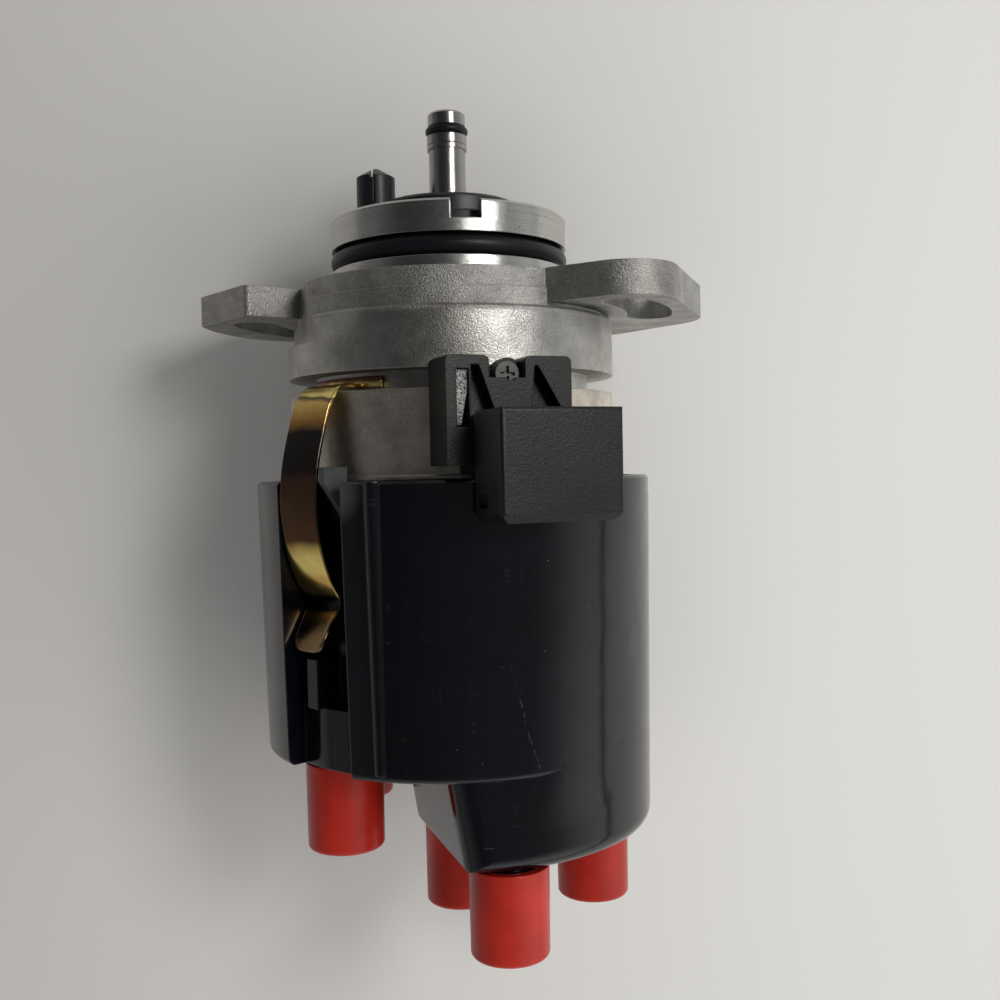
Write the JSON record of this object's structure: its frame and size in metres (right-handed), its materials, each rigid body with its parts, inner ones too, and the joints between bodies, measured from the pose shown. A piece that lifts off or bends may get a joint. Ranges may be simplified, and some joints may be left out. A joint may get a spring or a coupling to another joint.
{
  "type": "ignition distributor",
  "caption": "Cam-driven ignition distributor: cast housing with slotted flange ears, stepped drive shaft with eccentric peg, black hooded cap with red tower covers, side plug.",
  "frame": {"origin": "centre of the flange's mounting face, on the shaft axis", "axes": "+Y along the shaft axis toward the drive end, +Z toward the side plug, +X toward the long-slotted right ear; the object lies on its side"},
  "size_m": [0.1087, 0.17, 0.0971],
  "materials": {
    "cast_aluminium": "bead-blasted casting with machined spigot",
    "ring_rubber": "smooth black",
    "ground_steel": "ground and polished",
    "coupling_plastic": "black, worn",
    "cap_plastic": "glossy black moulding",
    "plug_plastic": "fine-grained dark grey",
    "red_plastic": "satin red",
    "gold_steel": "yellow passivated spring steel",
    "zinc_steel": "bright zinc",
    "bush_bronze": "sintered",
    "contact_brass": "bright",
    "inner_plastic": "brown moulding",
    "carbon": "dull carbon",
    "magnet_dark": "dull sintered"
  },
  "bodies": {
    "distributor_body": {"housing": "cast_aluminium", "spigot_o_ring": "ring_rubber", "shaft_seal": "ring_rubber", "upper_bush": "bush_bronze", "lower_bush": "bush_bronze", "base_plate": "zinc_steel", "base_plate_screws": "zinc_steel", "hall_carrier": "plug_plastic", "hall_magnet": "magnet_dark", "hall_sensor": "carbon", "plug_housing": "plug_plastic", "plug_pins": "contact_brass", "plug_screw": "zinc_steel", "dust_cover": "inner_plastic", "distributor_cap": "cap_plastic", "carbon_brush": "carbon", "brush_spring": "ground_steel", "centre_terminal": "contact_brass", "side_electrodes": "contact_brass"},
    "shaft": {"drive_shaft": "ground_steel", "pilot_o_ring": "ring_rubber", "drive_coupling": "coupling_plastic", "coupling_pin": "ground_steel", "shaft_circlip": "ground_steel", "thrust_washer": "zinc_steel", "trigger_rotor": "zinc_steel", "rotor_arm": "inner_plastic", "rotor_contact": "contact_brass", "rotor_resistor": "carbon"},
    "clip_front": {"spring_clip_front": "gold_steel"},
    "clip_rear": {"spring_clip_rear": "gold_steel"},
    "dust_cap_centre_body": {"dust_cap_centre": "red_plastic"},
    "dust_cap_1_body": {"dust_cap_1": "red_plastic"},
    "dust_cap_2_body": {"dust_cap_2": "red_plastic"},
    "dust_cap_3_body": {"dust_cap_3": "red_plastic"},
    "dust_cap_4_body": {"dust_cap_4": "red_plastic"}
  },
  "joints": [
    {"name": "shaft_spin", "type": "hinge", "parent": "distributor_body", "child": "shaft", "pos_m": [0, 0, 0], "axis": [0, 1, 0], "continuous": true},
    {"name": "clip_front_hinge", "type": "hinge", "parent": "distributor_body", "child": "clip_front", "pos_m": [-0.02194, -0.0216, 0.02046], "axis": [-0.682, 0, -0.7314], "range_deg": [0, 12]},
    {"name": "clip_rear_hinge", "type": "hinge", "parent": "distributor_body", "child": "clip_rear", "pos_m": [0.02194, -0.0216, -0.02046], "axis": [0.682, 0, 0.7314], "range_deg": [0, 12]},
    {"name": "dust_cap_centre_slide", "type": "slide", "parent": "distributor_body", "child": "dust_cap_centre_body", "axis": [0, -1, 0], "range_m": [0, 0.017]},
    {"name": "dust_cap_1_slide", "type": "slide", "parent": "distributor_body", "child": "dust_cap_1_body", "axis": [0, -1, 0], "range_m": [0, 0.017]},
    {"name": "dust_cap_2_slide", "type": "slide", "parent": "distributor_body", "child": "dust_cap_2_body", "axis": [0, -1, 0], "range_m": [0, 0.017]},
    {"name": "dust_cap_3_slide", "type": "slide", "parent": "distributor_body", "child": "dust_cap_3_body", "axis": [0, -1, 0], "range_m": [0, 0.017]},
    {"name": "dust_cap_4_slide", "type": "slide", "parent": "distributor_body", "child": "dust_cap_4_body", "axis": [0, -1, 0], "range_m": [0, 0.017]}
  ]
}
